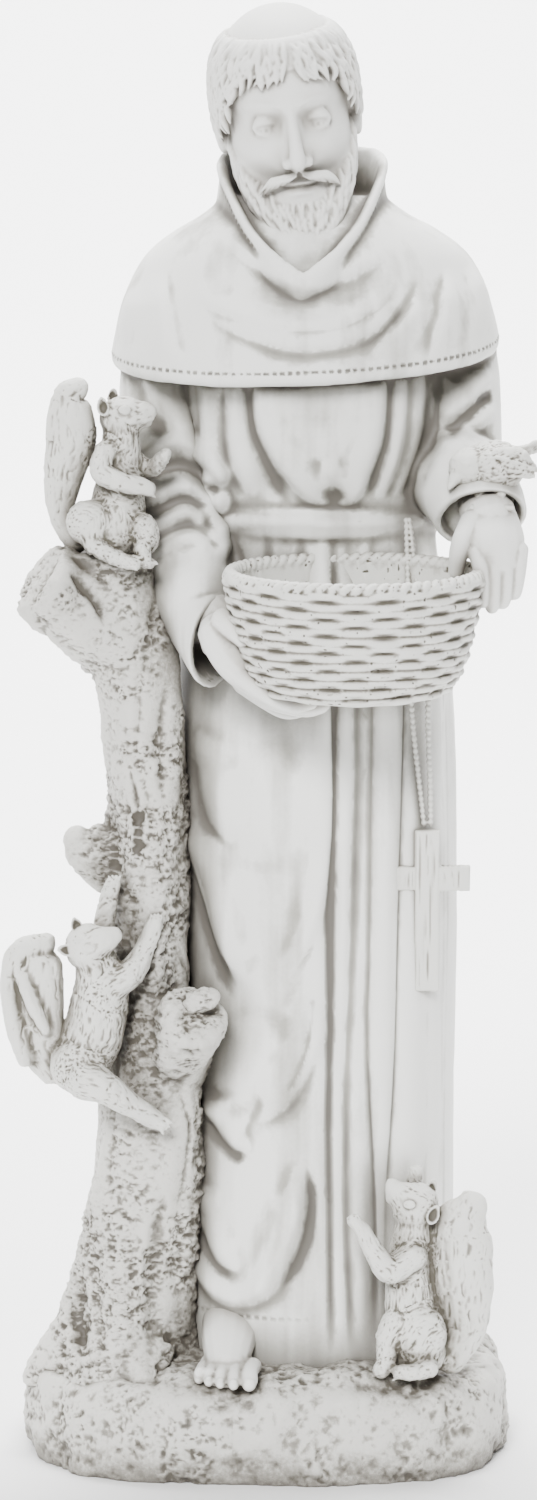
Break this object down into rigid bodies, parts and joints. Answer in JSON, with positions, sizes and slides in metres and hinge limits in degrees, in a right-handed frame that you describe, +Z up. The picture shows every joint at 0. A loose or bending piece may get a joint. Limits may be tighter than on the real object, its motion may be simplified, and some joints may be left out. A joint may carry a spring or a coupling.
{
  "type": "saint francis statue",
  "caption": "Standing friar in a hooded cape and belted robe, holding a woven basket beside a tree stump with squirrels and a bird, cast in one piece on a rock plinth.",
  "frame": {"origin": "on the flat underside of the plinth, below its middle", "axes": "+Z up along the standing figure, the figure faces -Y, +X is the side of its left hand"},
  "size_m": [0.3483, 0.2912, 0.9497],
  "materials": {
    "saint_francis_statue": "matte off-white cast stone with a grey-brown wash in its recesses"
  },
  "bodies": {
    "root": {"saint_francis_statue": "saint_francis_statue"}
  },
  "joints": []
}
